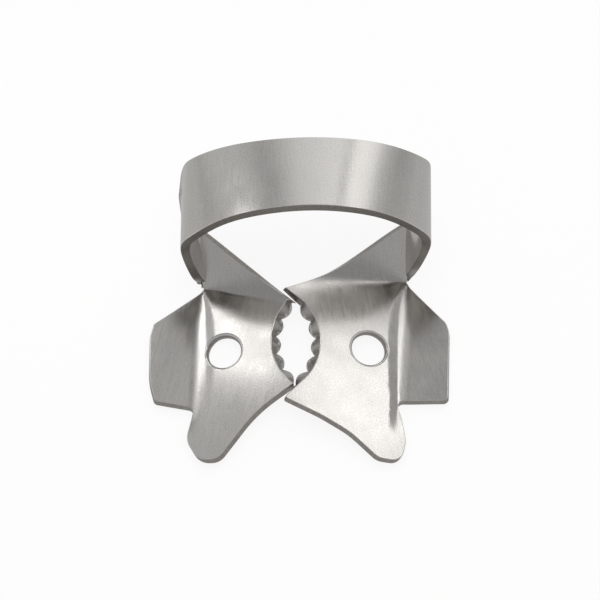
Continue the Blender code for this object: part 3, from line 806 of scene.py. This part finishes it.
def formed_mesh(sizes):
    """The clamp's mesh, bent and set on the floor, with its normals and blank coordinates."""
    form = Form(sizes)
    bm = solid_blank(blank_outline(form, sizes), sizes)
    bm = drilled(bm, form, sizes)
    cut_grid(bm, form, sizes)
    bmesh.ops.triangulate(bm, faces=bm.faces, quad_method="BEAUTY", ngon_method="BEAUTY")
    bmesh.ops.dissolve_degenerate(bm, dist=1e-8, edges=bm.edges)
    bm.normal_update()
    flat = np.array([vert.co for vert in bm.verts])
    normals = blank_normals(bm)
    places = form.shape(flat)
    facing = form.turn_normals(flat, normals)
    low, high = places.min(axis=0), places.max(axis=0)
    centre = 0.5 * (CAD_BOX[0] + CAD_BOX[1])
    places -= (0.5 * (low[0] + high[0]) - centre[0], 0.5 * (low[1] + high[1]) - centre[1], low[2])
    for vert, place in zip(bm.verts, places):
        vert.co = place
    bm.normal_update()
    if bm.calc_volume(signed=True) < 0.0:
        raise RuntimeError("the clamp's mesh is inside out")
    mesh = bpy.data.meshes.new("formed_clamp")
    bm.to_mesh(mesh)
    bm.free()
    mesh.shade_smooth()
    blank = mesh.attributes.new("blank", "FLOAT_VECTOR", "POINT")
    blank.data.foreach_set("vector", (flat / MM).ravel())
    wall = mesh.attributes.new("wall", "FLOAT", "POINT")
    wall.data.foreach_set("value", 1.0 - np.abs(normals[:, 2]))
    mesh.normals_split_custom_set_from_vertices(facing)
    return mesh


class Nodes:
    """Short calls to place and join a material's nodes."""

    def __init__(self, tree):
        self.tree = tree

    def add(self, kind, inputs=None, **settings):
        """A node of that kind with its settings, and its inputs set or linked."""
        node = self.tree.nodes.new(kind)
        for name, value in settings.items():
            setattr(node, name, value)
        for name, value in (inputs or {}).items():
            self.put(node, name, value)
        return node

    def put(self, node, name, value):
        """Set or link one input of a node."""
        if isinstance(value, bpy.types.NodeSocket):
            self.tree.links.new(value, node.inputs[name])
        else:
            node.inputs[name].default_value = value

    def math(self, operation, first, second):
        """Output of a math node."""
        return self.add("ShaderNodeMath", {0: first, 1: second}, operation=operation).outputs[0]

    def fade(self, value, low, high, to_low=0.0, to_high=1.0):
        """A smooth change from one value to another as the first goes from low to high."""
        return self.add("ShaderNodeMapRange",
                        {"Value": value, "From Min": low, "From Max": high,
                         "To Min": to_low, "To Max": to_high},
                        interpolation_type="SMOOTHSTEP").outputs["Result"]

    def noise(self, place, stretch, scale, detail=3.0, roughness=0.55):
        """Grey noise, finer where the stretch is larger."""
        mapped = self.add("ShaderNodeMapping", {"Vector": place, "Scale": stretch})
        return self.add("ShaderNodeTexNoise",
                        {"Vector": mapped.outputs["Vector"], "Scale": scale,
                         "Detail": detail, "Roughness": roughness}).outputs["Fac"]

    def mix(self, share, first, second):
        """A colour between two colours."""
        node = self.add("ShaderNodeMix", {"Factor": share}, data_type="RGBA")
        for socket, value in ((node.inputs[6], first), (node.inputs[7], second)):
            if isinstance(value, bpy.types.NodeSocket):
                self.tree.links.new(value, socket)
            else:
                socket.default_value = value
        return node.outputs[2]

    def bump(self, height, strength, distance, normal=None):
        """A normal disturbed by a height."""
        inputs = {"Height": height, "Strength": strength, "Distance": distance}
        if normal is not None:
            inputs["Normal"] = normal
        return self.add("ShaderNodeBump", inputs).outputs["Normal"]


def scaled(colour, factor):
    """A colour made darker or lighter."""
    return (*(channel * factor for channel in colour[:3]), 1.0)


def steel_material(finish):
    """Satin stainless steel with brushed faces, sheared edges and a painted highlight on the
    rounded rims.

    The patterns lie on the flat blank, in millimetres, so they follow the bends.
    """
    material = bpy.data.materials.new("satin_steel")
    material.use_nodes = True
    tree = material.node_tree
    nodes = Nodes(tree)
    shader = tree.nodes["Principled BSDF"]
    place = nodes.add("ShaderNodeAttribute", attribute_name="blank").outputs["Vector"]
    wall = nodes.add("ShaderNodeAttribute", attribute_name="wall").outputs["Fac"]
    cut = nodes.fade(wall, 0.30, 0.55)

    brushed = nodes.noise(place, (5.0, 0.4, 5.0), 1.6, detail=4.0)
    speckle = nodes.noise(place, (1.0, 1.0, 1.0), 7.0, detail=2.0)
    cloud = nodes.noise(place, (1.0, 1.0, 1.0), 0.45, detail=2.0)
    shear = nodes.noise(place, (6.0, 6.0, 0.5), 1.4, detail=4.0, roughness=0.65)

    tint = nodes.mix(nodes.fade(cloud, 0.35, 0.65), scaled(finish.steel_colour, 0.94),
                     scaled(finish.steel_colour, 1.05))
    streaked = nodes.mix(nodes.fade(brushed, 0.3, 0.7), scaled(finish.steel_colour, 0.87), tint)
    face_colour = nodes.mix(nodes.fade(speckle, 0.35, 0.65), streaked,
                            scaled(finish.steel_colour, 1.03))
    edge_colour = nodes.mix(nodes.fade(shear, 0.35, 0.7), scaled(finish.edge_colour, 0.72),
                            finish.edge_colour)
    # painted highlight: a thin band of near-white colour on the rounded rims, between a face and
    # its cut edge
    rim_highlight = nodes.math("MULTIPLY", nodes.fade(wall, 0.02, 0.07),
                     nodes.fade(wall, 0.15, 0.37, 1.0, 0.0))
    sheared = nodes.mix(cut, face_colour, edge_colour)
    nodes.put(shader, "Base Color", nodes.mix(rim_highlight, sheared, finish.rim_highlight_colour))
    shader.inputs["Metallic"].default_value = 1.0
    rough = nodes.fade(brushed, 0.2, 0.8, finish.roughness * 0.85, finish.roughness * 1.15)
    rough = nodes.math("ADD", rough, nodes.fade(cloud, 0.3, 0.7, -0.02, 0.03))
    rough_cut = nodes.math("MULTIPLY", cut, finish.edge_roughness - finish.roughness)
    nodes.put(shader, "Roughness", nodes.math("ADD", rough, rough_cut))

    lines = nodes.bump(brushed, finish.brushing, 0.004 * MM)
    grain = nodes.bump(speckle, 0.3, 0.006 * MM, lines)
    marks = nodes.bump(shear, nodes.math("MULTIPLY", cut, 0.9), 0.02 * MM, grain)
    nodes.put(shader, "Normal", marks)
    return material


def floor_material(colour):
    """A pale floor that reads as white and still takes the clamp's shadow."""
    material = bpy.data.materials.new("pale_floor")
    material.use_nodes = True
    tree = material.node_tree
    nodes = Nodes(tree)
    tree.nodes.remove(tree.nodes["Principled BSDF"])
    path = nodes.add("ShaderNodeLightPath").outputs
    seen = nodes.math("MAXIMUM", path["Is Camera Ray"], path["Is Transmission Ray"])
    seen = nodes.math("MULTIPLY", seen, FLOOR_SEEN)
    share = nodes.math("MAXIMUM", seen, path["Is Glossy Ray"])
    tone = nodes.mix(path["Is Glossy Ray"], (1.0, 1.0, 1.0, 1.0),
                     (FLOOR_REFLECTED, FLOOR_REFLECTED, FLOOR_REFLECTED, 1.0))
    paper = nodes.add("ShaderNodeBsdfDiffuse", {"Color": colour}).outputs[0]
    white = nodes.add("ShaderNodeEmission", {"Color": tone}).outputs[0]
    mixed = nodes.add("ShaderNodeMixShader", {0: share, 1: paper, 2: white}).outputs[0]
    tree.links.new(mixed, tree.nodes["Material Output"].inputs["Surface"])
    return material


def studio_world():
    """Plain surroundings with a backdrop of bands low down at the back.

    The camera sees them white. The bands give the bow its light and dark reflections.
    """
    world = bpy.data.worlds.new("studio")
    world.use_nodes = True
    tree = world.node_tree
    nodes = Nodes(tree)
    direction = nodes.add("ShaderNodeTexCoord").outputs["Generated"]
    axes = nodes.add("ShaderNodeSeparateXYZ", {"Vector": direction}).outputs
    low = nodes.fade(axes["Z"], 0.30, 0.75, 0.48, 0.35)
    back = nodes.fade(axes["Y"], -0.10, 0.35, 0.0, 0.06)
    plain = nodes.math("ADD", low, back)
    azimuth = nodes.math("DIVIDE", nodes.math("ARCTAN2", axes["X"], axes["Y"]), 2.0 * math.pi)
    around = nodes.add("ShaderNodeValToRGB", {"Fac": nodes.math("ADD", azimuth, 0.5)})
    ramp = around.color_ramp
    for degrees, value in BACKDROP:
        stop = ramp.elements.new(0.5 + degrees / 360.0)
        stop.color = (value, value, value, 1.0)
    for k in (len(ramp.elements) - 1, 0):
        ramp.elements[k].color = (BACKDROP_SIDES, BACKDROP_SIDES, BACKDROP_SIDES, 1.0)
    window = nodes.math("MULTIPLY", nodes.fade(axes["Z"], 0.15, 0.35),
                        nodes.fade(axes["Z"], 0.70, 0.78, 1.0, 0.0))
    window = nodes.math("MULTIPLY", window, nodes.fade(axes["Y"], 0.0, 0.3))
    level = nodes.mix(window, plain, around.outputs["Color"])
    path = nodes.add("ShaderNodeLightPath").outputs
    strength = nodes.math("MAXIMUM", level, path["Is Camera Ray"])
    nodes.put(tree.nodes["Background"], "Color", (1.0, 1.0, 1.0, 1.0))
    nodes.put(tree.nodes["Background"], "Strength", strength)
    return world


def soft_lamp(name, place, turn, size, level, strength):
    """A rectangular lamp that faces down, and is as bright all over as the level says."""
    lamp = bpy.data.lights.new(name, "AREA")
    lamp.shape = "RECTANGLE"
    lamp.size, lamp.size_y = size
    lamp.energy = strength * level * math.pi * size[0] * size[1]
    item = bpy.data.objects.new(name, lamp)
    item.location = place
    item.rotation_euler.z = turn
    bpy.context.collection.objects.link(item)
    return item


# brightness of the backdrop, by the angle from straight back towards the right
BACKDROP = ((-75, 0.62), (-48, 0.66), (-32, 0.62), (-22, 0.44), (-16, 0.54), (-3, 0.92),
            (16, 1.10), (22.5, 1.20), (25.5, 0.25), (28.5, 1.50), (42, 1.22), (46, 0.70),
            (54, 0.52), (60, 0.42), (68, 0.50), (82, 0.60))
BACKDROP_SIDES = 0.58    # and beyond its last bands

FLOOR_SEEN = 0.88        # share of plain white in the floor that the camera sees
FLOOR_REFLECTED = 0.61   # brightness of the floor in the steel

AIM = (0.18 * MM, 3.30 * MM, 0.38 * MM)    # what the camera looks at

# name, place, turn about the vertical, width and depth, brightness
OVERHEAD = ("overhead", (0.0, 0.05, 0.6), 0.0, (0.5, 0.5), 2.6)    # lights the floor only
LAMPS = (
    ("left_panel", (-0.0177, 0.0153, 0.027), math.radians(-22.0), (0.0114, 0.0085), 1.80),
    ("left_fill", (-0.069, 0.060, 0.120), 0.0, (0.034, 0.028), 0.20),
    ("left_strip", (-0.030, 0.056, 0.120), 0.0, (0.030, 0.026), 0.60),
    ("right_panel", (0.0345, 0.0175, 0.060), 0.0, (0.0190, 0.0230), 1.48),
    ("right_strip", (0.031, 0.054, 0.120), 0.0, (0.044, 0.026), 0.30),
)


class CLAMP_OT_steel(bpy.types.Operator):
    """Bend the clamp from its blank and give it its steel"""

    bl_idname = "clamp.steel"
    bl_label = "Steel clamp"

    def execute(self, context):
        scene = context.scene
        mesh = formed_mesh(scene.clamp_sizes)
        mesh.materials.append(steel_material(scene.clamp_finish))
        piece = bpy.data.objects.new("formed_clamp", mesh)
        context.collection.objects.link(piece)
        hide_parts("clamp")
        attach(piece, "root")
        return {"FINISHED"}


class CLAMP_OT_stage(bpy.types.Operator):
    """Lay the floor and set the lamps and the camera"""

    bl_idname = "clamp.stage"
    bl_label = "Stage"

    def execute(self, context):
        scene = context.scene
        stage = scene.clamp_stage
        bm = bmesh.new()
        bmesh.ops.create_grid(bm, x_segments=1, y_segments=1, size=0.5 * stage.floor_size)
        mesh = bpy.data.meshes.new("floor")
        bm.to_mesh(mesh)
        bm.free()
        mesh.materials.append(floor_material(stage.floor_colour))
        floor = bpy.data.objects.new("floor", mesh)
        context.collection.objects.link(floor)

        scene.world = studio_world()
        for lamp in LAMPS:
            soft_lamp(*lamp, stage.lamp_strength)
        soft_lamp(*OVERHEAD, stage.lamp_strength).visible_glossy = False

        tilt, roll = stage.camera_tilt, stage.camera_roll
        back = Vector((0.0, -math.sin(tilt), math.cos(tilt)))
        across = Vector((1.0, 0.0, 0.0))
        upright = back.cross(across)
        right = math.cos(roll) * across - math.sin(roll) * upright
        up = math.sin(roll) * across + math.cos(roll) * upright
        turn = Matrix((right, up, back)).transposed().to_4x4()
        lens = bpy.data.cameras.new("camera")
        lens.lens = lens.sensor_width * stage.camera_distance / stage.view_width
        lens.clip_start = 0.01
        camera = bpy.data.objects.new("camera", lens)
        camera.matrix_world = Matrix.Translation(Vector(AIM) + back * stage.camera_distance) @ turn
        context.collection.objects.link(camera)
        scene.camera = camera
        scene.view_settings.view_transform = "Standard"
        return {"FINISHED"}


class CLAMP_PT_panel(bpy.types.Panel):
    """Sizes, finish and stage of the clamp"""

    bl_idname = "CLAMP_PT_panel"
    bl_label = "Rubber dam clamp"
    bl_space_type = "VIEW_3D"
    bl_region_type = "UI"
    bl_category = "Clamp"

    def draw(self, context):
        layout = self.layout
        for operator in (CLAMP_OT_steel, CLAMP_OT_stage):
            layout.operator(operator.bl_idname)
        scene = context.scene
        for group in (scene.clamp_sizes, scene.clamp_finish, scene.clamp_stage):
            box = layout.box()
            for name in group.__annotations__:
                box.prop(group, name)


GROUPS = {"clamp_sizes": ClampSizes, "clamp_finish": ClampFinish, "clamp_stage": StageSettings}
CLASSES = (*GROUPS.values(), CLAMP_OT_steel, CLAMP_OT_stage, CLAMP_PT_panel)


def register():
    for item in CLASSES:
        bpy.utils.register_class(item)
    for name, group in GROUPS.items():
        setattr(bpy.types.Scene, name, bpy.props.PointerProperty(type=group))


def unregister():
    for name in GROUPS:
        delattr(bpy.types.Scene, name)
    for item in reversed(CLASSES):
        bpy.utils.unregister_class(item)


def main():
    register()
    bpy.ops.clamp.steel()
    bpy.ops.clamp.stage()


if __name__ == "__main__":
    main()
